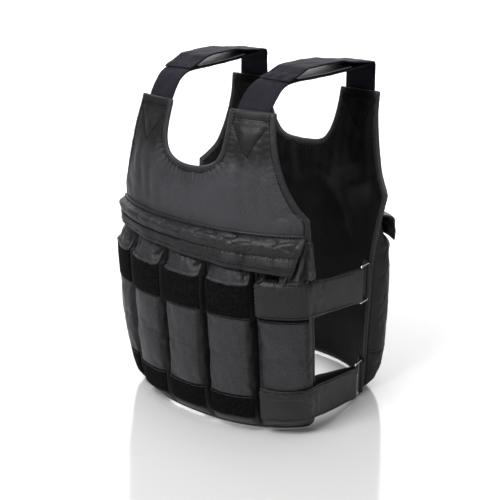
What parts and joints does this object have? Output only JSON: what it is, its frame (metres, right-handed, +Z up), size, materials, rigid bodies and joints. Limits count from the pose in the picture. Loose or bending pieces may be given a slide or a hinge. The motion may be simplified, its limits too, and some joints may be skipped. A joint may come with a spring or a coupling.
{
  "type": "weighted vest",
  "caption": "Adjustable weighted training vest with rows of flapped weight pockets front and back, hook-and-loop shoulder straps, and side webbing through metal rings.",
  "frame": {"origin": "midway between the undersides of the two shoulder straps, where they lie on the wearer", "axes": "+Z up, the wearer faces -Y, +X is the wearer's left"},
  "size_m": [0.3668, 0.3426, 0.5082],
  "materials": {
    "vest_cloth": "charcoal black woven nylon with a soft sheen",
    "band": "matt black loop fabric",
    "webbing": "black ribbed webbing with a slight sheen",
    "hook_tape": "light grey hook tape",
    "chrome": "polished wire"
  },
  "bodies": {
    "root": {"front_panel": "vest_cloth", "back_panel": "vest_cloth", "front_pocket_1": "vest_cloth", "front_band_upper_1": "band", "front_band_lower_1": "band", "back_pocket_1": "vest_cloth", "front_pocket_2": "vest_cloth", "front_band_upper_2": "band", "front_band_lower_2": "band", "back_pocket_2": "vest_cloth", "front_pocket_3": "vest_cloth", "front_band_upper_3": "band", "front_band_lower_3": "band", "back_pocket_3": "vest_cloth", "front_pocket_4": "vest_cloth", "front_band_upper_4": "band", "front_band_lower_4": "band", "back_pocket_4": "vest_cloth", "front_pocket_5": "vest_cloth", "front_band_upper_5": "band", "front_band_lower_5": "band", "back_pocket_5": "vest_cloth", "front_flap": "vest_cloth", "back_flap": "vest_cloth", "side_strap_upper_left": "webbing", "side_ring_upper_left": "chrome", "ring_tab_upper_left": "webbing", "side_strap_lower_left": "webbing", "side_ring_lower_left": "chrome", "ring_tab_lower_left": "webbing", "front_shoulder_strap_left": "webbing", "back_shoulder_strap_left": "webbing", "hook_tape_left": "hook_tape", "side_strap_upper_right": "webbing", "side_ring_upper_right": "chrome", "ring_tab_upper_right": "webbing", "side_strap_lower_right": "webbing", "side_ring_lower_right": "chrome", "ring_tab_lower_right": "webbing", "front_shoulder_strap_right": "webbing", "back_shoulder_strap_right": "webbing", "hook_tape_right": "hook_tape"}
  },
  "joints": []
}
